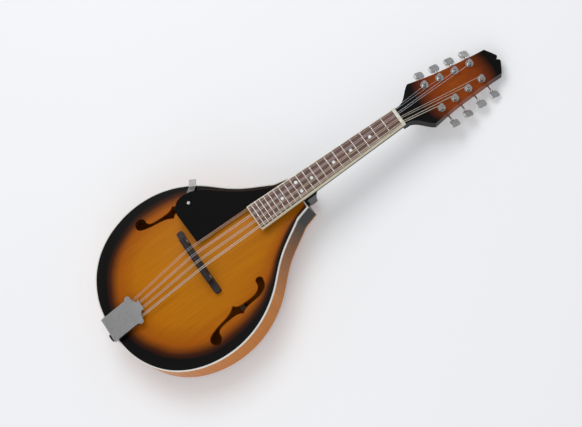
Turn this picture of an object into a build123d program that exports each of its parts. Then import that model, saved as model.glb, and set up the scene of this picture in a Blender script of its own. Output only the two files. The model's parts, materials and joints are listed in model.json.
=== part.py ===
from build123d import *
import math
import os

# Millimetres. +X across, +Y towards the head, +Z out of the soundboard.
# The origin is on the centre line, in the plane of the back, under the bridge.

# Body
tail_y = -162
shoulder_y = 172
body_half_width = 135
shoulder_half_width = 27
back_thickness = 3.5
rib_height = 40
rib_thickness = 2.2
top_thickness = 3.5
arch_height = 14
seat_gap = 0.04
arch_centre_y = -28
binding_width = 1.6
lining_width = 5
lining_height = 9
block_length = 16
neck_block_length = 34
tone_bar_width = 7
tone_bar_depth = 11
brace_height = 9
brace_width = 8

# Neck, fingerboard and nut
scale_length = 350
nut_y = 348
nut_height_above_edge = 2.6
neck_angle = 4.3
nut_width = 28.6
board_end_width = 41.2
board_length = 247
board_thickness = 6
board_binding = 1.3
fret_count = 20
fret_width = 1.3
fret_height = 0.9
tang_width = 0.6
tang_depth = 2
dot_diameter = 5
dot_depth = 1.5
nut_thickness = 5
nut_lift = 2.4
neck_depth = 15
heel_length = 24
heel_cap_thickness = 2

# Head and tuners
head_angle = 11.5
head_drop = 3
head_thickness = 14
post_spacing = 24.3
first_post = 56
first_post_x = 22
last_post_x = 15
post_radius = 3
post_height = 10
post_eye_height = 5.6
bushing_radius = 4.6
running_gap = 0.06
plate_thickness = 1.2
plate_width = 15
gear_radius = 4.9
gear_thickness = 3.4
gear_teeth = 14
worm_offset = 7
worm_radius = 1.9
shaft_radius = 1.5
knob_reach = 24
knob_length = 11.5
knob_width = 15.6
knob_thickness = 5

# Bridge
bridge_half_length = 55
bridge_width = 10
bridge_foot_height = 6
saddle_half_length = 39
saddle_width = 8
wheel_thickness = 2.4
wheel_clearance = 1.2
saddle_seat_gap = 0.02
bore_headroom = 1.2
string_height = 78.5
wheel_radius = 5.2
bridge_post_x = 32
bridge_post_radius = 2

# Strings: four pairs, thin on -X and thick on +X
nut_pair_pitch = 7.8
bridge_pair_pitch = 11.7
hook_pair_pitch = 8.8
pair_gap = 2.4
string_radii = [0.16, 0.22, 0.36, 0.52]

# Tailpiece
tailpiece_tilt = 5
tailpiece_lift = 3.5
tailpiece_half_width = 18
tailpiece_thickness = 1.2
tailpiece_base_length = 50
cover_half_width = 20
cover_height = 6
cover_wall = 0.9
cover_length = 60
hook_y = 38
button_radius = 6

# Pickguard
guard_thickness = 1.8
guard_drop = 2.6
strap_width = 10.5
strap_thickness = 1.2

edge_z = back_thickness + rib_height + top_thickness
rib_top_z = back_thickness + rib_height
neck_place = Pos(0, nut_y, edge_z + nut_height_above_edge) * Rot(-neck_angle, 0, 0)
head_place = neck_place * Pos(0, nut_thickness, -head_drop) * Rot(-head_angle, 0, 0)
tail_place = Pos(0, tail_y, edge_z + tailpiece_lift) * Rot(tailpiece_tilt, 0, 0)


def body_outline(inset=0.0):
    w = body_half_width
    half = [
        (0, tail_y),
        (0.31 * w, tail_y + 4),
        (0.74 * w, tail_y + 37),
        (w, arch_centre_y - 5),
        (0.91 * w, 26),
        (0.726 * w, 65),
        (0.44 * w, 107),
        (36, 145),
        (shoulder_half_width, shoulder_y),
    ]
    right = Edge.make_spline([Vector(*p) for p in half], tangents=[Vector(1, 0), Vector(-0.25, 1)])
    if inset:
        moved = [inset_point(right, k / 18, inset) for k in range(19)]
        right = Edge.make_spline(moved, tangents=[Vector(1, 0), Vector(-0.25, 1)])
    left = right.mirror(Plane.YZ)
    end = Edge.make_line(right @ 1, left @ 1)
    face = Face(Wire([right, end, left]))
    if inset > 0:
        face -= Pos(0, shoulder_y - inset + 50) * Rectangle(400, 100)
    return face


def inset_point(curve, t, inset):
    along = curve % t
    return curve @ t + Vector(-along.Y, along.X) * inset


def slab(face, low, high):
    return extrude(Pos(0, 0, low) * face, high - low, dir=(0, 0, 1))


def arch_at(x, y):
    tail_side = y < arch_centre_y
    reach = arch_centre_y - tail_y if tail_side else shoulder_y - arch_centre_y
    t = abs(y - arch_centre_y) / reach
    width = body_half_width
    if not tail_side:
        width = shoulder_half_width + (body_half_width - shoulder_half_width) * math.cos(min(t, 1) * math.pi / 2)
        t = t * t
    s = min(1.0, math.hypot(x / width, t) / 0.97)
    return arch_height * math.cos(s * math.pi / 2) ** 2


def arch_surface():
    steps = 26
    points = []
    for i in range(steps + 1):
        x = (2 * i / steps - 1) * (body_half_width + 8)
        row = []
        for j in range(steps + 7):
            y = tail_y - 8 + j * (shoulder_y - tail_y + 16) / (steps + 6)
            row.append(Vector(x, y, edge_z + arch_at(x, y)))
        points.append(row)
    return Face.make_surface_from_array_of_points(points, tol=0.02)


arch_face = arch_surface()


def below_arch(drop, depth=80):
    return Solid.extrude(Pos(0, 0, -drop) * arch_face, Vector(0, 0, -depth))


def f_hole(side):
    runs = [
        [(98, -47), (93.5, -36), (90.5, -21), (87, -7), (80.5, 4)],
        [(80.5, 4), (84.5, 8), (86.5, 21), (86, 36), (82.5, 46), (74, 50.5)],
        [(74, 50.5), (77, 61)],
        [(77, 61), (86, 56), (91.5, 44), (93, 29), (94.5, 20), (99, 11)],
        [(99, 11), (95.5, 5), (94.5, -7), (95.5, -21), (98, -30), (104, -34)],
        [(104, -34), (98, -47)],
    ]
    edges = []
    for run in runs:
        points = [Vector(side * x, y) for x, y in run]
        edges.append(Edge.make_spline(points) if len(points) > 2 else Edge.make_line(*points))
    shape = Face(Wire(edges)) + Pos(side * 105, -42) * Circle(8.8) + Pos(side * 73.5, 56) * Circle(5.8)
    return slab(shape, rib_top_z - 10, edge_z + 40)


def soundboard():
    plate = below_arch(0, top_thickness - seat_gap)
    board = plate & slab(body_outline(binding_width), 0, edge_z + 60)
    for side in (-1, 1):
        board -= f_hole(side)
    return board


def rib_ring(low, high, outer, inner):
    return slab(body_outline(outer), low, high) - slab(body_outline(inner), low - 1, high + 1)


def rib(side):
    ring = rib_ring(back_thickness, rib_top_z, 0, rib_thickness)
    half = Pos(side * 200, 0, 50) * Box(400, 800, 300)
    return ring & half


def block_zone(low_y, high_y):
    return Pos(0, (low_y + high_y) / 2, 50) * Box(400, high_y - low_y, 300)


tail_block_front = tail_y + rib_thickness + block_length
neck_block_back = shoulder_y - rib_thickness - neck_block_length


def end_block(low_y, high_y, half_width):
    zone = Pos(0, (low_y + high_y) / 2, 50) * Box(2 * half_width, high_y - low_y, 300)
    block = slab(body_outline(rib_thickness), back_thickness, edge_z + 40) & zone
    return block & below_arch(top_thickness)


def lining(low):
    ring = rib_ring(low, low + lining_height, rib_thickness, rib_thickness + lining_width)
    ring -= block_zone(tail_y - 10, tail_block_front) & Pos(0, 0, 50) * Box(76, 800, 300)
    return ring - block_zone(neck_block_back, shoulder_y + 10)


def tone_bars():
    bars = []
    for side, lean in ((-1, 7), (1, -4)):
        bar = Pos(side * 33, -8, rib_top_z) * Rot(0, 0, lean) * Box(tone_bar_width, 190, 60)
        deep = below_arch(top_thickness) - below_arch(top_thickness + tone_bar_depth)
        bars.append(bar & deep)
    return Compound(bars)


def back_braces():
    bars = []
    for y in (-80, 10, 90):
        reach = Pos(0, y, back_thickness + brace_height / 2) * Box(300, brace_width, brace_height)
        inside = slab(body_outline(rib_thickness + lining_width), back_thickness, rib_top_z)
        bars.append(reach & inside)
    return Compound(bars)


def top_binding():
    return rib_ring(rib_top_z, edge_z, 0, binding_width)


def board_blank(length, end_width, start_width, low, high, margin=0.0):
    a = start_width / 2 - margin
    b = end_width / 2 - margin
    return slab(Polygon((-a, 0), (a, 0), (b, -length), (-b, -length), align=None), low, high)


def fret_distance(n):
    return scale_length * (1 - 2 ** (-n / 12))


def board_half_width(distance):
    return (nut_width + (board_end_width - nut_width) * distance / board_length) / 2


def fret(n):
    half = board_half_width(fret_distance(n)) - 0.2
    profile = Pos(0, fret_height - fret_width / 2 - 0.25) * Circle(fret_width / 2)
    profile += Pos(0, 0.1) * Rectangle(fret_width, 0.2)
    profile = profile & Pos(0, 5) * Rectangle(10, 10)
    crown = extrude(Plane.YZ * profile, half, both=True)
    tang_half = half - board_binding
    tang = Pos(0, 0, -tang_depth / 2) * Box(2 * tang_half, tang_width, tang_depth)
    return Pos(0, -fret_distance(n), 0) * (crown + tang)


def dot_places():
    places = []
    for n in (3, 5, 7, 10, 15):
        places.append((0, n))
    for x in (-8, 8):
        places.append((x, 12))
    return [(x, -(fret_distance(n - 1) + fret_distance(n)) / 2) for x, n in places]


def dots():
    discs = []
    for x, y in dot_places():
        discs.append(Pos(x, y, -dot_depth / 2) * Cylinder(dot_diameter / 2, dot_depth))
    return discs


def fingerboard():
    core = board_blank(board_length - board_binding, board_end_width - 0.05, nut_width,
                       -board_thickness, 0, board_binding)
    for disc in dots():
        core -= disc
    for n in range(1, fret_count + 1):
        tang_half = board_half_width(fret_distance(n)) - 0.2 - board_binding
        core -= Pos(0, -fret_distance(n), -tang_depth / 2) * Box(2 * tang_half, tang_width, tang_depth)
    return neck_place * core


def fingerboard_binding():
    band = board_blank(board_length, board_end_width, nut_width, -board_thickness, 0)
    band -= board_blank(board_length - board_binding, board_end_width - 0.05, nut_width,
                        -board_thickness - 1, 1, board_binding)
    return neck_place * band


def frets():
    return neck_place * Compound([fret(n) for n in range(1, fret_count + 1)])


def string_xs(pitch):
    xs = []
    for pair in range(4):
        for k in (-0.5, 0.5):
            xs.append((pair - 1.5) * pitch + k * pair_gap)
    return xs


def nut():
    blank = slab(Pos(0, nut_thickness / 2) * Rectangle(nut_width, nut_thickness), -board_thickness, nut_lift)
    blank = chamfer(blank.edges().group_by(Axis.Z)[-1].filter_by(Axis.X), 0.8)
    for x, r in zip(string_xs(nut_pair_pitch), [r for r in string_radii for k in (0, 1)]):
        slot = Pos(x, 0, nut_slot_z(r)) * Rot(90, 0, 0) * Cylinder(r + 0.08, 30)
        slot += Pos(x, 0, nut_slot_z(r) + 2) * Box(2 * r + 0.16, 30, 4)
        blank -= slot
    return neck_place * blank


def nut_slot_z(r):
    return fret_height + 0.6 + r


def d_section(half_width, depth, y):
    flat = Edge.make_line((-half_width, 0), (half_width, 0))
    bow = Edge.make_spline(
        [Vector(half_width, 0), Vector(0.72 * half_width, -0.74 * depth), Vector(0, -depth),
         Vector(-0.72 * half_width, -0.74 * depth), Vector(-half_width, 0)],
        tangents=[Vector(0, -1), Vector(0, 1)])
    return Pos(0, y, -board_thickness) * Rot(90, 0, 0) * Face(Wire([flat, bow]))


def neck():
    joint_distance = (nut_y - shoulder_y) / math.cos(math.radians(neck_angle))
    near = d_section(board_half_width(joint_distance), neck_depth + 3, -joint_distance - 12)
    far = d_section(nut_width / 2, neck_depth, nut_thickness)
    shaft = neck_place * loft([far, near])
    tongue = neck_place * board_blank(board_length - 1, board_end_width, nut_width,
                                      -board_thickness - 5, -board_thickness, 1.5)
    heel_low = heel_cap_thickness
    heel = loft([
        Pos(0, shoulder_y + 7, heel_low) * RectangleRounded(22, 14, 3),
        Pos(0, shoulder_y + 9, 24) * RectangleRounded(29, 18, 4),
        Pos(0, shoulder_y + heel_length / 2, edge_z - 2) * RectangleRounded(36, heel_length, 5),
    ])
    outside = Pos(0, shoulder_y + 200, 50) * Box(400, 400, 300)
    wood = (shaft + heel) & outside
    above_top = below_arch(-0.6)
    wood += tongue - above_top
    wood -= below_arch(-0.6) & slab(body_outline(), 0, edge_z + 50)
    return wood + head_wood()


def head_outline():
    side = [(nut_width / 2, 0), (17.5, 14.5), (24, 22), (37, 36.5), (34.5, 49), (29, 81), (26, 111),
            (23.5, 140), (22.5, 159)]
    crown = [(22.5, 159), (11, 166), (5.5, 169), (0, 164)]
    lower = Edge.make_spline([Vector(*p) for p in side[:4]])
    flank = Edge.make_spline([Vector(*p) for p in side[3:]])
    rise = Edge.make_spline([Vector(*p) for p in crown[:3]])
    dip = Edge.make_spline([Vector(*p) for p in crown[2:]], tangents=[Vector(-1, 0.2), Vector(-0.3, -1)])
    right = [lower, flank, rise, dip]
    left = [e.mirror(Plane.YZ) for e in right]
    base = Edge.make_line((-nut_width / 2, 0), (nut_width / 2, 0))
    return Face(Wire(right + left + [base]))


def post_places():
    places = []
    for side in (-1, 1):
        for k in range(4):
            x = first_post_x + (last_post_x - first_post_x) * k / 3
            places.append((side, side * x, first_post + k * post_spacing))
    return places


def head_wood():
    wood = slab(head_outline(), -head_thickness, 0)
    for side, x, y in post_places():
        wood -= Pos(x, y, -head_thickness / 2) * Cylinder(bushing_radius, head_thickness + 2)
    throat = Pos(0, 2, -head_thickness / 2 - 1) * Box(nut_width, 8, head_thickness)
    joined = head_place * (wood + throat)
    return joined - neck_place * (Pos(0, nut_thickness / 2, 5 - board_thickness) *
                                  Box(80, nut_thickness, 10)) - neck_place * (
        Pos(0, -50, 0) * Box(80, 100, 2 * board_thickness))


def heel_cap():
    return slab(Pos(0, shoulder_y + 7) * RectangleRounded(22, 14, 3), 0, heel_cap_thickness)


def bushings():
    rings = []
    for side, x, y in post_places():
        sleeve = Pos(x, y, -head_thickness / 2) * Cylinder(bushing_radius, head_thickness)
        collar = Pos(x, y, 0.6) * Cylinder(bushing_radius + 1.2, 1.2)
        bore = Pos(x, y, -head_thickness / 2) * Cylinder(post_radius + running_gap, head_thickness + 6)
        rings.append(sleeve + collar - bore)
    return head_place * Compound(rings)


def tuner_plate(side):
    y_mid = first_post + 1.5 * post_spacing + worm_offset / 2
    x_mid = side * (first_post_x + last_post_x) / 2
    lean = math.degrees(math.atan((first_post_x - last_post_x) / (3 * post_spacing)))
    plate = Pos(x_mid, y_mid) * Rot(0, 0, side * lean) * RectangleRounded(plate_width, 104, 4)
    solid = slab(plate, -head_thickness - plate_thickness, -head_thickness)
    for place_side, x, y in post_places():
        if place_side != side:
            continue
        solid -= Pos(x, y, -head_thickness) * Cylinder(post_radius + running_gap, 10)
        for shift in (-4.6, 4):
            lug = Pos(x + side * shift, y + worm_offset, worm_z() + 4) * Box(2, 5, 8 + 2 * shaft_radius + 2)
            lug = lug & slab(Rectangle(400, 800), worm_z() - shaft_radius - 1, -head_thickness - plate_thickness)
            solid += lug - Pos(0, y + worm_offset, worm_z()) * Rot(0, 90, 0) * Cylinder(shaft_radius + running_gap, 200)
    for x, y in screw_places(side):
        solid -= Pos(x, y, -head_thickness) * Cylinder(1.1, 10)
    return head_place * solid


def worm_z():
    return -head_thickness - plate_thickness - 0.5 - gear_thickness / 2


def screw_places(side):
    places = []
    for k in (-0.32, 0.58, 1.58, 3.62):
        x = first_post_x + (last_post_x - first_post_x) * k / 3
        places.append((side * x, first_post + k * post_spacing))
    return places


def tuner_screws():
    screws = []
    for side in (-1, 1):
        for x, y in screw_places(side):
            top = -head_thickness - plate_thickness
            screw = Pos(x, y, top - 0.5) * Cylinder(2.1, 1) + Pos(x, y, top + 3.5) * Cylinder(1.05, 7)
            screws.append(screw)
    return head_place * Compound(screws)


def tuner_screw_holes():
    holes = []
    for side in (-1, 1):
        for x, y in screw_places(side):
            holes.append(Pos(x, y, -head_thickness) * Cylinder(1.05, 12))
    return head_place * Compound(holes)


def tuner_post(x, y):
    low = -head_thickness - plate_thickness - 0.5 - gear_thickness
    post = Pos(x, y, (low + post_height) / 2) * Cylinder(post_radius, post_height - low)
    waist = Pos(x, y, post_eye_height) * (Cylinder(post_radius + 1, 5) - Cylinder(post_radius - 0.6, 5))
    eye = Pos(x, y, post_eye_height) * Rot(0, 90, 0) * Cylinder(0.8, 20)
    return head_place * (post - waist - eye)


def tuner_gear(x, y):
    wheel = Circle(gear_radius)
    for k in range(gear_teeth):
        turn = Rot(0, 0, 360 * k / gear_teeth)
        wheel -= turn * Pos(gear_radius, 0) * Circle(0.45)
    wheel -= Circle(post_radius)
    top = -head_thickness - plate_thickness - 0.5
    return head_place * slab(Pos(x, y) * wheel, top - gear_thickness, top)


def tuner_knob(side, x, y, turn):
    reach = knob_reach
    shaft = Pos((reach - 7) / 2, 0, 0) * Rot(0, 90, 0) * Cylinder(shaft_radius, reach + 7)
    worm = Rot(0, 90, 0) * Cylinder(shaft_radius, 5.4)
    for k in range(5):
        worm += Pos(1.05 * (k - 2), 0, 0) * Rot(0, 90, 0) * Cylinder(worm_radius, 0.5)
    collar = Pos(reach - knob_length / 2 - 1, 0, 0) * Rot(0, 90, 0) * Cylinder(2.6, 2)
    blade = Pos(reach, 0, 0) * Box(knob_length, knob_width, knob_thickness)
    blade = fillet(blade.edges().filter_by(Axis.Z), 4)
    blade = fillet(blade.edges().group_by(Axis.Z)[-1] + blade.edges().group_by(Axis.Z)[0], 1.2)
    knob = Rot(turn, 0, 0) * (shaft + worm + collar + blade)
    if side < 0:
        knob = Rot(0, 0, 180) * knob
    return head_place * Pos(x, y + worm_offset, worm_z()) * knob


bridge_top_z = edge_z + arch_height + bridge_foot_height
wheel_z = bridge_top_z + wheel_clearance
post_foot_z = edge_z + arch_at(bridge_post_x, 0) + 1
bridge_post_top = string_height - 3


def bridge_base():
    height = bridge_top_z - edge_z
    base = Pos(0, 0, edge_z + height / 2) * Box(2 * bridge_half_length, bridge_width, height)
    base = fillet(base.edges().filter_by(Axis.Z), 3)
    crown_radius = 260
    base = base & Pos(0, 0, bridge_top_z - crown_radius) * Rot(90, 0, 0) * Cylinder(crown_radius, 60)
    base -= below_arch(0)
    for side in (-1, 1):
        base -= Pos(side * bridge_post_x, 0, post_foot_z + 10) * Cylinder(bridge_post_radius, 20)
    return base


def bridge_posts():
    pins = []
    for side in (-1, 1):
        height = bridge_post_top - post_foot_z
        pins.append(Pos(side * bridge_post_x, 0, post_foot_z + height / 2) * Cylinder(bridge_post_radius, height))
    return Compound(pins)


def thumbwheel(side):
    rim = Circle(wheel_radius)
    for k in range(24):
        rim -= Rot(0, 0, 15 * k) * Pos(wheel_radius, 0) * Circle(0.35)
    rim -= Circle(bridge_post_radius + running_gap)
    return Pos(side * bridge_post_x, 0, wheel_z) * slab(rim, 0, wheel_thickness)


def bridge_saddle():
    low = wheel_z + wheel_thickness + saddle_seat_gap
    high = string_height - 0.2
    w = saddle_width / 2
    profile = Polygon((-w, low), (w, low), (w, high - 2.4), (0.4, high), (-0.4, high), (-w, high - 2.4), align=None)
    bar = extrude(Plane.YZ * profile, saddle_half_length, both=True)
    for side in (-1, 1):
        bore_top = bridge_post_top + bore_headroom
        bar -= Pos(side * bridge_post_x, 0, bore_top - 10) * Cylinder(bridge_post_radius + 0.08, 20)
        tip = Pos(side * (saddle_half_length + 4), 0, high) * Rot(0, side * 24, 0) * Box(24, 30, 8)
        bar -= tip
    return bar


def rod(a, b, radius):
    start = Vector(*a)
    finish = Vector(*b)
    along = finish - start
    return Solid.make_cylinder(radius, along.length, Plane(origin=start, z_dir=along))


def world(place, x, y, z):
    return tuple((place * Pos(x, y, z)).position)


def one_string(index):
    radius = string_radii[index // 2]
    hook = world(tail_place, string_xs(hook_pair_pitch)[index], hook_y, tailpiece_thickness + radius + 0.6)
    crest = (string_xs(bridge_pair_pitch)[index], 0, string_height + radius)
    rest = world(neck_place, string_xs(nut_pair_pitch)[index], nut_thickness + 0.2, nut_slot_z(radius) + 0.04)
    order = {0: 0, 1: 1, 2: 2, 3: 3, 4: 3, 5: 2, 6: 1, 7: 0}[index]
    side = -1 if index < 4 else 1
    places = [(x, y) for place_side, x, y in post_places() if place_side == side]
    x, y = places[order]
    away = world(head_place, x - side * (post_radius + radius + 0.1), y, post_eye_height - 0.4 * (index % 2))
    route = [hook, crest, rest, away]
    body = rod(route[0], route[1], radius)
    for a, b in zip(route[1:], route[2:]):
        body += rod(a, b, radius)
    for bend in route[1:-1]:
        body += Pos(*bend) * Sphere(radius)
    return body


def strings(first, last):
    return Compound([one_string(k) for k in range(first, last)])


def tailpiece_base():
    w = tailpiece_half_width
    t = tailpiece_thickness
    plate = Pos(0, (tailpiece_base_length - t) / 2, t / 2) * Box(2 * w, tailpiece_base_length + t, t)
    tray = tail_place * plate
    drop = edge_z + tailpiece_lift - 12
    leg = Pos(0, tail_y - t / 2, 12 + drop / 2 + 0.3) * Box(2 * w, t, drop)
    metal = tray + leg
    for k in range(4):
        x = (k - 1.5) * hook_pair_pitch
        hook = Pos(x, hook_y - 3, t + 0.9) * Box(3.2, 2, 2) + Pos(x, hook_y - 4.6, t + 2.1) * Box(3.2, 3, 0.8)
        metal += tail_place * hook
    metal -= Pos(0, tail_y - t, edge_z / 2) * Rot(90, 0, 0) * Cylinder(3, 20)
    for x, z in tailpiece_screw_places():
        metal -= Pos(x, tail_y - t, z) * Rot(90, 0, 0) * Cylinder(1.4, 12)
    return metal - slab(body_outline(), 0, edge_z)


def tailpiece_screw_places():
    return [(-12, 34), (12, 34), (0, 37.5)]


def tailpiece_screws():
    face_y = tail_y - tailpiece_thickness
    screws = []
    for x, z in tailpiece_screw_places():
        head = Pos(x, face_y - 0.7, z) * Rot(90, 0, 0) * Cylinder(2.6, 1.4)
        shank = Pos(x, face_y + 6, z) * Rot(90, 0, 0) * Cylinder(1.35, 12)
        screws.append(head + shank)
    return Compound(screws)


def strap_button():
    z = edge_z / 2
    face_y = tail_y - tailpiece_thickness
    stem = Pos(0, face_y + 8 - 6, z) * Rot(90, 0, 0) * Cylinder(2.9, 20)
    waist = Pos(0, face_y - 4, z) * Rot(90, 0, 0) * Cylinder(4, 8)
    flare = Pos(0, face_y - 1, z) * Rot(90, 0, 0) * Cylinder(5.4, 2)
    flange = Pos(0, face_y - 8.8, z) * Rot(90, 0, 0) * Cylinder(button_radius, 2.4)
    return stem + waist + flare + flange


def cover_outline():
    w = cover_half_width
    tail_wall = -tailpiece_thickness - 1.1
    lobes = [(w, 40), (w + 3.4, 44.5), (w + 3, 49.5), (17, 51.4), (11.5, 53), (7.5, cover_length - 2.2),
             (0, cover_length)]
    curve = Edge.make_spline([Vector(*p) for p in lobes], tangents=[Vector(0, 1), Vector(-1, 0)])
    side = Edge.make_line((w, tail_wall), (w, 40))
    tail = Edge.make_line((-w, tail_wall), (w, tail_wall))
    return Face(Wire([side, curve, curve.mirror(Plane.YZ), side.mirror(Plane.YZ), tail]))


def tailpiece_cover():
    tail_wall = -tailpiece_thickness - 1.1
    inner_height = cover_height - cover_wall
    shell = slab(cover_outline(), 0.3, cover_height)
    room = cover_length - tail_wall
    shell -= Pos(0, tail_wall + cover_wall + room / 2, inner_height / 2 - 1) * Box(
        2 * (cover_half_width - cover_wall), room, inner_height + 2)
    shell -= Pos(0, 53, inner_height / 2 - 1) * Box(80, 24, inner_height + 2)
    return tail_place * shell


def guard_outline():
    inner = [(-22, 15), (-21.8, 102), (-19.4, 158)]
    outer = [(-19.4, 158), (-34, 127), (-53, 98), (-78, 68.5), (-91, 47), (-92, 27), (-74, 12.5)]
    edge = Edge.make_spline([Vector(*p) for p in outer])
    foot = Edge.make_line((-74, 12.5), (-22, 15))
    seam = Edge.make_line(inner[0], inner[1])
    slope = Edge.make_line(inner[1], inner[2])
    return Pos(0, -nut_y) * Face(Wire([edge, foot, seam, slope]))


def pickguard():
    plate = slab(guard_outline(), -guard_drop - guard_thickness, -guard_drop)
    plate -= board_blank(board_length, board_end_width + 0.1, nut_width + 0.1, -20, 20)
    plate -= Pos(-78, 36 - nut_y, -guard_drop) * Cylinder(1.3, 10)
    return neck_place * plate


def strap_frame():
    return Pos(-78, 36, 0) * Rot(0, 0, 149)


def pickguard_bracket():
    top = edge_z + nut_height_above_edge + (nut_y - 36) * math.tan(math.radians(neck_angle))
    under = top - guard_drop - guard_thickness - 0.35
    reach = 42
    t = strap_thickness
    points = [(-6, under), (12, under - 0.4), (31, edge_z + 2.2), (reach, edge_z + 1.5), (reach, 14)]
    inner = [(reach - t, 14), (reach - t, edge_z + 1.5 - t), (31, edge_z + 2.2 - t), (12, under - 0.4 - t),
             (-6, under - t)]
    strap = extrude(Plane.XZ * Polygon(*(points + inner), align=None), strap_width / 2, both=True)
    strap = strap_frame() * strap
    strap -= neck_place * Pos(-78, 36 - nut_y, -guard_drop) * Cylinder(1.3, 24)
    strap -= neck_place * slab(guard_outline(), -guard_drop - guard_thickness - 0.02, 20)
    strap -= slab(body_outline(-0.1), 0, edge_z)
    return strap - below_arch(-0.1)


def pickguard_screw():
    shank = Pos(0, 0, -3.2) * Cylinder(1.25, 6.4)
    head = Pos(0, 0, 0.5) * Cylinder(2.4, 1)
    return neck_place * Pos(-78, 36 - nut_y, -guard_drop) * (shank + head)


def shank_holes():
    face_y = tail_y - 4
    holes = [Pos(0, face_y + 8, edge_z / 2) * Rot(90, 0, 0) * Cylinder(2.9, 24)]
    for x, z in tailpiece_screw_places():
        holes.append(Pos(x, face_y + 8, z) * Rot(90, 0, 0) * Cylinder(1.35, 24))
    return holes


def drilled(solid):
    for hole in shank_holes():
        solid -= hole
    return solid


def build_nodes():
    nodes = {
        "soundboard": soundboard(),
        "back_plate": slab(body_outline(), 0, back_thickness),
        "rib_left": drilled(rib(-1)),
        "rib_right": drilled(rib(1)),
        "top_binding": top_binding(),
        "top_lining": lining(rib_top_z - lining_height),
        "bottom_lining": lining(back_thickness),
        "neck_block": end_block(neck_block_back, shoulder_y - rib_thickness, 60),
        "tail_block": drilled(end_block(tail_y, tail_block_front, 38)),
        "tone_bars": tone_bars(),
        "back_braces": back_braces(),
        "neck": neck() - tuner_screw_holes(),
        "heel_cap": heel_cap(),
        "fingerboard": fingerboard(),
        "fingerboard_binding": fingerboard_binding(),
        "frets": frets(),
        "position_dots": neck_place * Compound(dots()),
        "nut": nut(),
        "bridge_base": bridge_base(),
        "bridge_saddle": bridge_saddle(),
        "bridge_posts": bridge_posts(),
        "thumbwheel_left": thumbwheel(-1),
        "thumbwheel_right": thumbwheel(1),
        "plain_strings": strings(0, 4),
        "wound_strings": strings(4, 8),
        "tailpiece_base": tailpiece_base(),
        "tailpiece_cover": tailpiece_cover(),
        "tailpiece_screws": tailpiece_screws(),
        "strap_button": strap_button(),
        "pickguard": pickguard(),
        "pickguard_bracket": pickguard_bracket(),
        "pickguard_screw": pickguard_screw(),
        "tuner_bushings": bushings(),
        "tuner_plate_left": tuner_plate(-1),
        "tuner_plate_right": tuner_plate(1),
        "tuner_screws": tuner_screws(),
    }
    turns = [22, 8, 16, 26, -12, -22, -6, -18]
    for number, (side, x, y) in enumerate(post_places(), 1):
        nodes[f"tuner_post_{number}"] = tuner_post(x, y)
        nodes[f"tuner_gear_{number}"] = tuner_gear(x, y)
        nodes[f"tuner_knob_{number}"] = tuner_knob(side, x, y, turns[number - 1])
    return nodes


os.makedirs("parts", exist_ok=True)
for name, shape in build_nodes().items():
    shape.label = name
    export_step(shape, f"parts/{name}.step")
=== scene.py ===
import bpy
import json
import math
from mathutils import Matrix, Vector


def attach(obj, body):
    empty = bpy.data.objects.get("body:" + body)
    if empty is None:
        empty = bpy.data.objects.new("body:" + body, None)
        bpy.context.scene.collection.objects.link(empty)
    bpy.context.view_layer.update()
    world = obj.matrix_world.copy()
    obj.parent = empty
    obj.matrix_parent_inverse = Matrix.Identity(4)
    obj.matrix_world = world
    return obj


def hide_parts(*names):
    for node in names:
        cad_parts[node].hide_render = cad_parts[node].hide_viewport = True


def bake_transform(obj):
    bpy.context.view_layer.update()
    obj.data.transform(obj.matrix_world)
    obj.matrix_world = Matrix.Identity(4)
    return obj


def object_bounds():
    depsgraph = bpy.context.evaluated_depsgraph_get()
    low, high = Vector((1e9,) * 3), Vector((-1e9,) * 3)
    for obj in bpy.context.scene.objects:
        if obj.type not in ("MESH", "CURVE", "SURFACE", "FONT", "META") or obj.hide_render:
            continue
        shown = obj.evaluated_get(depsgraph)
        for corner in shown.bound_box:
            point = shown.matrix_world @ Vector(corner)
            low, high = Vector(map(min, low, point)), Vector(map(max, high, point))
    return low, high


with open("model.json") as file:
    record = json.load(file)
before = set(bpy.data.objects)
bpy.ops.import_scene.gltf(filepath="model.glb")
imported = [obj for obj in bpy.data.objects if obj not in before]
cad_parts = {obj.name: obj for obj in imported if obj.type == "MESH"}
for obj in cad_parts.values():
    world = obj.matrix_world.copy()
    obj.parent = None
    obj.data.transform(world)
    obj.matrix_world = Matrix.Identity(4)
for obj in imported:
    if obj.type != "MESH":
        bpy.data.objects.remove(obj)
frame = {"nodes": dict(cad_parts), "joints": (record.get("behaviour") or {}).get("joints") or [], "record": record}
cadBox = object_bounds()
nodes = frame["nodes"]
joints = {joint["name"]: joint for joint in frame["joints"]}
print("frame loaded")


def newMaterial(name):
    mat = bpy.data.materials.new(name)
    mat.use_nodes = True
    return mat, mat.node_tree.nodes, mat.node_tree.links, mat.node_tree.nodes["Principled BSDF"]


def objectCoords(tree, links, scale=(1, 1, 1)):
    coords = tree.new("ShaderNodeTexCoord")
    mapping = tree.new("ShaderNodeMapping")
    mapping.inputs["Scale"].default_value = scale
    links.new(coords.outputs["Object"], mapping.inputs["Vector"])
    return mapping.outputs["Vector"]


def splitCoords(tree, links):
    split = tree.new("ShaderNodeSeparateXYZ")
    links.new(objectCoords(tree, links), split.inputs["Vector"])
    return split.outputs


def noise(tree, links, vector, scale, detail, roughness=0.55):
    tex = tree.new("ShaderNodeTexNoise")
    tex.inputs["Scale"].default_value = scale
    tex.inputs["Detail"].default_value = detail
    tex.inputs["Roughness"].default_value = roughness
    links.new(vector, tex.inputs["Vector"])
    return tex.outputs["Fac"]


def ramp(tree, links, value, stops):
    node = tree.new("ShaderNodeValToRGB")
    while len(node.color_ramp.elements) < len(stops):
        node.color_ramp.elements.new(0.5)
    for element, (place, color) in zip(node.color_ramp.elements, stops):
        element.position = place
        element.color = (*color, 1)
    links.new(value, node.inputs["Fac"])
    return node.outputs["Color"]


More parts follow.
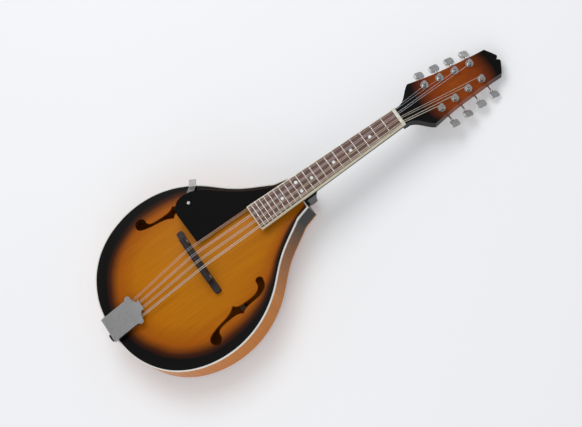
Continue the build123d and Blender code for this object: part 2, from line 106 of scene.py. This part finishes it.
def maths(tree, links, kind, a, b=None):
    node = tree.new("ShaderNodeMath")
    node.operation = kind
    for socket, value in zip(node.inputs, (a, b)):
        if value is None:
            continue
        if isinstance(value, (int, float)):
            socket.default_value = value
        else:
            links.new(value, socket)
    return node.outputs["Value"]


def mixColors(tree, links, amount, a, b, kind="MIX"):
    node = tree.new("ShaderNodeMix")
    node.data_type = "RGBA"
    node.blend_type = kind
    if isinstance(amount, (int, float)):
        node.inputs["Factor"].default_value = amount
    else:
        links.new(amount, node.inputs["Factor"])
    for socket, value in ((node.inputs["A"], a), (node.inputs["B"], b)):
        if isinstance(value, tuple):
            socket.default_value = (*value, 1)
        else:
            links.new(value, socket)
    return node.outputs["Result"]


def addBump(tree, links, shader, height, strength, distance):
    bump = tree.new("ShaderNodeBump")
    bump.inputs["Strength"].default_value = strength
    bump.inputs["Distance"].default_value = distance
    links.new(height, bump.inputs["Height"])
    links.new(bump.outputs["Normal"], shader.inputs["Normal"])


def setShader(shader, rough, shine=None, metallic=None):
    shader.inputs["Roughness"].default_value = rough
    if shine is not None:
        shader.inputs["Specular IOR Level"].default_value = shine
    if metallic is not None:
        shader.inputs["Metallic"].default_value = metallic


# screen values of red, green and blue, 0 to 255, to the linear ones that Blender takes
def srgb(r, g, b):
    return tuple((c / 255 / 12.92) if c < 10.4 else ((c / 255 + 0.055) / 1.055) ** 2.4 for c in (r, g, b))


wood = dict(fineDetail=6, fineRoughness=0.62, rough=0.4, shine=0.12, lacquerBump=0.06, bareBump=0.15,
            bumpDepth=0.0002)


def grainOn(tree, links, scale, stretch):
    return noise(tree, links, objectCoords(tree, links, stretch), scale, wood["fineDetail"],
                 wood["fineRoughness"])


# tail, shoulder and middle are places along the body; outline pairs a share of the way from the middle to
# the shoulder with a share of the half width
burst = dict(
    tail=-0.162, shoulder=0.172, middle=-0.028, halfWidth=0.134, shoulderShare=0.2,
    outline=((0.27, 0.93), (0.46, 0.745), (0.67, 0.455), (0.86, 0.27)),
    cloudScale=14, cloudDetail=2, cloudStretch=(1, 0.4, 1), wobble=0.08,
    grainScale=420, grainStretch=(1, 0.02, 0.3), grainShare=0.55, shine=0.1,
    colors=((0.0, srgb(206, 128, 10)), (0.55, srgb(198, 118, 6)), (0.76, srgb(176, 92, 4)),
            (0.86, srgb(70, 30, 3)), (0.915, srgb(4, 3, 2))),
    grainShades=((0.3, (0.72, 0.66, 0.6)), (0.62, (1, 1, 1))))


# 0 at the middle of the top, 1 at the edge of the body
def burstReach(tree, links):
    split = splitCoords(tree, links)
    across = maths(tree, links, "ABSOLUTE", split["X"])
    along = maths(tree, links, "SUBTRACT", split["Y"], burst["middle"])
    forward = maths(tree, links, "DIVIDE", along, burst["shoulder"] - burst["middle"])
    width = tree.new("ShaderNodeFloatCurve")
    curve = width.mapping.curves[0]
    curve.points[0].location = (0, 1)
    curve.points[1].location = (1, burst["shoulderShare"])
    for place, size in burst["outline"]:
        curve.points.new(place, size)
    width.mapping.update()
    links.new(maths(tree, links, "MAXIMUM", forward, 0), width.inputs["Value"])
    halfWidth = maths(tree, links, "MULTIPLY", width.outputs["Value"], burst["halfWidth"])
    side = maths(tree, links, "DIVIDE", across, halfWidth)
    backward = maths(tree, links, "MINIMUM", along, 0)
    back = maths(tree, links, "DIVIDE", backward, burst["middle"] - burst["tail"])
    backSize = maths(tree, links, "ABSOLUTE", back)
    total = maths(tree, links, "ADD", maths(tree, links, "POWER", side, 2),
                  maths(tree, links, "POWER", backSize, 2))
    return maths(tree, links, "SQRT", total)


def sunburstTop():
    mat, tree, links, shader = newMaterial("sunburstTop")
    reach = burstReach(tree, links)
    fine = grainOn(tree, links, burst["grainScale"], burst["grainStretch"])
    cloud = noise(tree, links, objectCoords(tree, links, burst["cloudStretch"]), burst["cloudScale"],
                  burst["cloudDetail"])
    wobble = maths(tree, links, "MULTIPLY", maths(tree, links, "SUBTRACT", cloud, 0.5), burst["wobble"])
    color = ramp(tree, links, maths(tree, links, "ADD", reach, wobble), burst["colors"])
    grain = ramp(tree, links, fine, burst["grainShades"])
    links.new(mixColors(tree, links, burst["grainShare"], color, grain, "MULTIPLY"),
              shader.inputs["Base Color"])
    setShader(shader, wood["rough"], burst["shine"])
    addBump(tree, links, shader, fine, wood["lacquerBump"], wood["bumpDepth"])
    return mat


# the rib darkens towards the neck between the places darkFrom and darkTo
flame = dict(scale=260, ribStretch=(1, 1, 0.06), backStretch=(1, 0.03, 1), darkFrom=0.06, darkTo=0.15,
             colors=((0.2, srgb(204, 112, 6)), (0.8, srgb(222, 136, 14))), dark=srgb(20, 12, 10))


def flamedRib(name, isRib):
    mat, tree, links, shader = newMaterial(name)
    fine = grainOn(tree, links, flame["scale"], flame["ribStretch"] if isRib else flame["backStretch"])
    body = ramp(tree, links, fine, flame["colors"])
    if isRib:
        reach = tree.new("ShaderNodeMapRange")
        reach.inputs["From Min"].default_value = flame["darkFrom"]
        reach.inputs["From Max"].default_value = flame["darkTo"]
        links.new(splitCoords(tree, links)["Y"], reach.inputs["Value"])
        body = mixColors(tree, links, reach.outputs["Result"], body, flame["dark"])
    links.new(body, shader.inputs["Base Color"])
    setShader(shader, wood["rough"], wood["shine"])
    addBump(tree, links, shader, fine, wood["lacquerBump"], wood["bumpDepth"])
    return mat


headGlow = dict(
    y=0.443, halfLength=0.062, halfWidth=0.075, grainScale=300, grainStretch=(1, 0.04, 1), grainShare=0.5,
    colors=((0.0, srgb(166, 78, 12)), (0.55, srgb(146, 62, 8)), (0.95, srgb(6, 3, 3))),
    grainShades=((0.3, (0.6, 0.55, 0.5)), (0.65, (1, 1, 1))))


# near black, with a warm oval on the face of the head
def darkNeck():
    mat, tree, links, shader = newMaterial("darkNeck")
    split = splitCoords(tree, links)
    fine = grainOn(tree, links, headGlow["grainScale"], headGlow["grainStretch"])
    center = maths(tree, links, "SUBTRACT", split["Y"], headGlow["y"])
    along = maths(tree, links, "DIVIDE", center, headGlow["halfLength"])
    across = maths(tree, links, "DIVIDE", split["X"], headGlow["halfWidth"])
    total = maths(tree, links, "ADD", maths(tree, links, "POWER", along, 2),
                  maths(tree, links, "POWER", across, 2))
    glow = ramp(tree, links, maths(tree, links, "SQRT", total), headGlow["colors"])
    grain = ramp(tree, links, fine, headGlow["grainShades"])
    links.new(mixColors(tree, links, headGlow["grainShare"], glow, grain, "MULTIPLY"),
              shader.inputs["Base Color"])
    setShader(shader, wood["rough"], wood["shine"])
    return mat


# lowAt and highAt are where a pattern reaches its darker and its lighter color
plainLook = dict(stretch=(1, 0.05, 1), lowAt=0.32, highAt=0.66)


def plainWood(name, low, high, rough, scale=500):
    mat, tree, links, shader = newMaterial(name)
    fine = grainOn(tree, links, scale, plainLook["stretch"])
    color = ramp(tree, links, fine, [(plainLook["lowAt"], low), (plainLook["highAt"], high)])
    links.new(color, shader.inputs["Base Color"])
    setShader(shader, rough)
    addBump(tree, links, shader, fine, wood["bareBump"], wood["bumpDepth"])
    return mat


plasticLook = dict(cloudScale=60, cloudDetail=3, lowAt=0.3, highAt=0.7)


def plastic(name, low, high, rough, shine=0.4):
    mat, tree, links, shader = newMaterial(name)
    cloud = noise(tree, links, objectCoords(tree, links), plasticLook["cloudScale"],
                  plasticLook["cloudDetail"])
    color = ramp(tree, links, cloud, [(plasticLook["lowAt"], low), (plasticLook["highAt"], high)])
    links.new(color, shader.inputs["Base Color"])
    setShader(shader, rough, shine)
    return mat


metalLook = dict(cloudScale=300, cloudDetail=5, lowAt=0.3, highAt=0.7, polishLow=0.75, polishHigh=1.3,
                 bumpDepth=0.0003)


def metal(name, low, high, rough, bumpy=0.0, metallic=1):
    mat, tree, links, shader = newMaterial(name)
    cloud = noise(tree, links, objectCoords(tree, links), metalLook["cloudScale"], metalLook["cloudDetail"])
    color = ramp(tree, links, cloud, [(metalLook["lowAt"], low), (metalLook["highAt"], high)])
    links.new(color, shader.inputs["Base Color"])
    shader.inputs["Metallic"].default_value = metallic
    polish = tree.new("ShaderNodeMapRange")
    polish.inputs["To Min"].default_value = rough * metalLook["polishLow"]
    polish.inputs["To Max"].default_value = rough * metalLook["polishHigh"]
    links.new(cloud, polish.inputs["Value"])
    links.new(polish.outputs["Result"], shader.inputs["Roughness"])
    if bumpy:
        addBump(tree, links, shader, cloud, bumpy, metalLook["bumpDepth"])
    return mat


coverStamp = dict(scrollScale=420, cloudScale=160, shift=0.012, lineWidth=0.12, rough=0.34, bump=0.22,
                  line=srgb(150, 149, 148), field=srgb(174, 173, 172))


# brushed plate with a stamped field of scrolls
def stampedCover():
    mat, tree, links, shader = newMaterial("stampedCover")
    coords = objectCoords(tree, links)
    cloud = tree.new("ShaderNodeTexNoise")
    cloud.inputs["Scale"].default_value = coverStamp["cloudScale"]
    links.new(coords, cloud.inputs["Vector"])
    shifted = tree.new("ShaderNodeVectorMath")
    shifted.operation = "MULTIPLY_ADD"
    links.new(cloud.outputs["Color"], shifted.inputs[0])
    shifted.inputs[1].default_value = [coverStamp["shift"]] * 3
    links.new(coords, shifted.inputs[2])
    scroll = tree.new("ShaderNodeTexVoronoi")
    scroll.feature = "DISTANCE_TO_EDGE"
    scroll.inputs["Scale"].default_value = coverStamp["scrollScale"]
    links.new(shifted.outputs["Vector"], scroll.inputs["Vector"])
    raised = ramp(tree, links, scroll.outputs["Distance"],
                  [(0.0, (0, 0, 0)), (coverStamp["lineWidth"], (1, 1, 1))])
    links.new(mixColors(tree, links, raised, coverStamp["line"], coverStamp["field"]),
              shader.inputs["Base Color"])
    setShader(shader, coverStamp["rough"], metallic=1)
    addBump(tree, links, shader, raised, coverStamp["bump"], metalLook["bumpDepth"])
    return mat


winding = dict(scale=900, rough=0.35, metallic=0.4,
               colors=((0.1, srgb(170, 156, 134)), (0.6, srgb(236, 226, 208))))


def woundMetal():
    mat, tree, links, shader = newMaterial("woundMetal")
    wave = tree.new("ShaderNodeTexWave")
    wave.bands_direction = "Y"
    wave.inputs["Scale"].default_value = winding["scale"]
    links.new(objectCoords(tree, links), wave.inputs["Vector"])
    links.new(ramp(tree, links, wave.outputs["Fac"], winding["colors"]), shader.inputs["Base Color"])
    setShader(shader, winding["rough"], metallic=winding["metallic"])
    return mat


# one finish for each material slot: darker color, lighter color, roughness, then shine or bump
finishes = {
    "sunburst_top": sunburstTop(),
    "amber_back": flamedRib("amberBack", False),
    "amber_rib": flamedRib("amberRib", True),
    "ivory_binding": plastic("ivoryBinding", srgb(228, 224, 212), srgb(244, 241, 232), 0.3),
    "pale_wood": plainWood("paleWood", srgb(178, 138, 90), srgb(214, 178, 128), 0.7, 300),
    "dark_neck": darkNeck(),
    "rosewood": plainWood("rosewood", srgb(78, 46, 36), srgb(128, 82, 66), 0.5),
    "cream_binding": plastic("creamBinding", srgb(226, 212, 176), srgb(238, 228, 200), 0.35),
    "fret_metal": metal("fretMetal", srgb(196, 192, 180), srgb(224, 222, 214), 0.2),
    "pearl": plastic("pearl", srgb(222, 226, 224), srgb(246, 246, 240), 0.2),
    "bone": plastic("bone", srgb(232, 226, 208), srgb(246, 243, 232), 0.4),
    "ebony": plainWood("ebony", srgb(16, 9, 7), srgb(40, 24, 18), 0.5),
    "nickel": metal("nickel", srgb(176, 175, 173), srgb(216, 215, 213), 0.2),
    "satin_nickel": metal("satinNickel", srgb(188, 187, 185), srgb(218, 217, 215), 0.3, 0.03),
    "brass": metal("brass", srgb(168, 130, 62), srgb(200, 160, 84), 0.35),
    "string_steel": metal("stringSteel", srgb(222, 222, 222), srgb(246, 246, 246), 0.4, metallic=0.35),
    "wound_metal": woundMetal(),
    "guard_black": plastic("guardBlack", srgb(2, 2, 3), srgb(4, 4, 5), 0.5, 0.06),
    "black_plastic": plastic("blackPlastic", srgb(12, 12, 12), srgb(24, 23, 23), 0.25),
}
slotOf = {part["node"]: part["material_slot"] for part in frame["record"]["subparts"]}
for name, node in nodes.items():
    node.data.materials.clear()
    node.data.materials.append(finishes[slotOf[name]])
nodes["tailpiece_cover"].data.materials[0] = stampedCover()
# painted shade: a darker copy of the nickel finish on the pickguard bracket, its screw and the thumbwheels, which
# stands in for their shade and dims their reflections and glints
shadedNickel = metal("shadedNickel", srgb(120, 119, 118), srgb(150, 149, 148), 0.4)
for name in ("pickguard_bracket", "pickguard_screw", "thumbwheel_left", "thumbwheel_right"):
    nodes[name].data.materials[0] = shadedNickel
print("finishes on")


# lengths in metres; radii go from the thinnest pair to the thickest, and the coils lie in the posts' waists
strings = dict(
    pairGap=0.0024, radii=[0.00016, 0.00022, 0.00036, 0.00052], sides=12,
    nutPitch=0.0078, bridgePitch=0.0117, hookPitch=0.0088,
    crest=0.0785, hookGap=0.0006, nutLift=0.0015, nutGap=0.00004, pastNut=0.0002,
    waistRadius=0.0024, waistHeight=0.0056, coilTurns=3.6, coilSteps=16, coilDrop=0.0012, coilTight=0.9,
    coilRoundness=2, smoothAngle=40)
# angles, places and thicknesses of the pieces that the strings run over
board = dict(angle=math.radians(4.3), nutY=0.348, nutZ=0.0496, nutLength=0.005)
tail = dict(angle=math.radians(5), y=-0.162, z=0.0505, hook=0.038, thickness=0.0012)


def deselectAll():
    for thing in bpy.context.selected_objects:
        thing.select_set(False)


def selectOnly(thing):
    deselectAll()
    thing.select_set(True)
    bpy.context.view_layer.objects.active = thing


def finishPiece(thing, name, slotName, body=None):
    thing.name = name
    selectOnly(thing)
    bpy.ops.object.transform_apply(location=True, rotation=True, scale=True)
    bpy.ops.object.shade_smooth_by_angle(angle=math.radians(strings["smoothAngle"]))
    thing.data.materials.clear()
    thing.data.materials.append(finishes[slotName])
    if body:
        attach(thing, body)
    return thing


def wire(a, b, radius, name, slotName, body=None):
    along = b - a
    deselectAll()
    bpy.ops.mesh.primitive_cylinder_add(
        vertices=strings["sides"], radius=radius, depth=along.length, location=(a + b) / 2,
        rotation=along.to_track_quat("Z", "Y").to_euler())
    return finishPiece(bpy.context.active_object, name, slotName, body)


def onPlane(origin, angle, x, y, z):
    return Vector((x, origin[1] + y * math.cos(angle) + z * math.sin(angle),
                   origin[2] - y * math.sin(angle) + z * math.cos(angle)))


def onBoard(x, y, z):
    return onPlane((0, board["nutY"], board["nutZ"]), board["angle"], x, y, z)


def onTail(x, y, z):
    return onPlane((0, tail["y"], tail["z"]), -tail["angle"], x, y, z)


def spread(index, pitch):
    return (index // 2 - 1.5) * pitch + (index % 2 - 0.5) * strings["pairGap"]


def postPlace(number):
    post = joints[f"post_turn_{number}"]
    return Vector(post["pos_m"]), Vector(post["axis"]).normalized()


def coilOn(number, radius, name, slotName):
    post, up = postPlace(number)
    side = Vector((1, 0, 0))
    ahead = up.cross(side)
    curve = bpy.data.curves.new(name, "CURVE")
    curve.dimensions = "3D"
    curve.bevel_depth = radius
    curve.bevel_resolution = strings["coilRoundness"]
    spline = curve.splines.new("POLY")
    steps = int(strings["coilTurns"] * strings["coilSteps"])
    spline.points.add(steps)
    for k in range(steps + 1):
        turn = 2 * math.pi * k / strings["coilSteps"]
        rise = k / steps * 2 * radius * strings["coilTurns"]
        place = post + up * (strings["waistHeight"] - strings["coilDrop"] + rise)
        reach = strings["waistRadius"] + radius * strings["coilTight"]
        place += (side * math.cos(turn) + ahead * math.sin(turn)) * reach
        spline.points[k].co = (*place, 1)
    thing = bpy.data.objects.new(name, curve)
    bpy.context.scene.collection.objects.link(thing)
    selectOnly(thing)
    bpy.ops.object.convert(target="MESH")
    return finishPiece(bpy.context.active_object, name, slotName, f"string_post_{number}")


# the post that each string ends at; the first four strings are plain and the last four are wound
postOf = [1, 2, 3, 4, 8, 7, 6, 5]
for index, number in enumerate(postOf):
    radius = strings["radii"][index // 2]
    isPlain = index < 4
    slotName = "string_steel" if isPlain else "wound_metal"
    title = f"string{index + 1}"
    hook = onTail(spread(index, strings["hookPitch"]), tail["hook"],
                  tail["thickness"] + radius + strings["hookGap"])
    crest = Vector((spread(index, strings["bridgePitch"]), 0, strings["crest"] + radius))
    overNut = onBoard(spread(index, strings["nutPitch"]), board["nutLength"] + strings["pastNut"],
                      strings["nutLift"] + radius + strings["nutGap"])
    post, up = postPlace(number)
    outward = -1 if isPlain else 1
    atPost = post + up * strings["waistHeight"] - Vector((outward * (strings["waistRadius"] + radius), 0, 0))
    behind = wire(hook, crest, radius, f"{title}Behind", slotName)
    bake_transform(behind)
    speaking = wire(crest, overNut, radius, f"{title}Speaking", slotName)
    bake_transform(speaking)
    beyond = wire(overNut, atPost, radius, f"{title}Beyond", slotName, "instrument")
    coilOn(number, radius, f"{title}Coil", slotName)
    if index == 0:
        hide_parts("plain_strings")
    elif index == 4:
        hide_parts("wound_strings")
print("strings made")


stageLook = dict(floorSize=8, floorDrop=0.0005, floorRough=0.9, floorColor=(0.86, 0.87, 0.88), paleLift=0.2,
                 mirrored=(0.9, 0.91, 0.92, 1), worldColor=(0.93, 0.95, 1, 1), worldStrength=0.42)


# a pale floor that keeps its shadow, looks a little lighter to the camera and shows pale in metal
def paleFloor():
    deselectAll()
    bpy.ops.mesh.primitive_plane_add(size=stageLook["floorSize"],
                                     location=(0, 0, cadBox[0][2] - stageLook["floorDrop"]))
    floor = bpy.context.active_object
    floor.name = "floor"
    mat, tree, links, shader = newMaterial("floorPaper")
    path = tree.new("ShaderNodeLightPath")
    shader.inputs["Base Color"].default_value = (*stageLook["floorColor"], 1)
    setShader(shader, stageLook["floorRough"])
    glow = tree.new("ShaderNodeEmission")
    glow.inputs["Color"].default_value = stageLook["mirrored"]
    seen = maths(tree, links, "MAXIMUM", path.outputs["Is Glossy Ray"], path.outputs["Is Transmission Ray"])
    mirror = tree.new("ShaderNodeMixShader")
    links.new(seen, mirror.inputs["Fac"])
    links.new(shader.outputs["BSDF"], mirror.inputs[1])
    links.new(glow.outputs["Emission"], mirror.inputs[2])
    lift = tree.new("ShaderNodeEmission")
    lift.inputs["Color"].default_value = (1, 1, 1, 1)
    liftStrength = maths(tree, links, "MULTIPLY", path.outputs["Is Camera Ray"], stageLook["paleLift"])
    links.new(liftStrength, lift.inputs["Strength"])
    total = tree.new("ShaderNodeAddShader")
    links.new(mirror.outputs["Shader"], total.inputs[0])
    links.new(lift.outputs["Emission"], total.inputs[1])
    links.new(total.outputs["Shader"], tree["Material Output"].inputs["Surface"])
    floor.data.materials.append(mat)


paleFloor()
world = bpy.data.worlds.new("studio")
bpy.context.scene.world = world
world.use_nodes = True
background = world.node_tree.nodes["Background"]
background.inputs["Color"].default_value = stageLook["worldColor"]
background.inputs["Strength"].default_value = stageLook["worldStrength"]

lamps = {
    "keyLamp": dict(place=(-1.1, 0.4, 2.0), size=1.4, power=20),
    "fillLamp": dict(place=(1.4, -0.9, 1.4), size=1.6, power=9),
}
lampAim = Vector((0, 0.15, 0.04))
for name, lamp in lamps.items():
    deselectAll()
    bpy.ops.object.light_add(type="AREA", location=lamp["place"])
    light = bpy.context.active_object
    light.name = name
    light.data.size = lamp["size"]
    light.data.energy = lamp["power"]
    light.rotation_euler = (lampAim - Vector(lamp["place"])).to_track_quat("-Z", "Y").to_euler()

cameraSet = dict(place=(0.9906, 0.3525, 2.5388), turn=(14.974, 15.913, 56.257), lens=116.84)
deselectAll()
bpy.ops.object.camera_add(location=cameraSet["place"], rotation=[math.radians(t) for t in cameraSet["turn"]])
camera = bpy.context.active_object
camera.data.lens = cameraSet["lens"]
bpy.context.scene.camera = camera
bpy.context.scene.view_settings.view_transform = "Standard"
print("stage set")
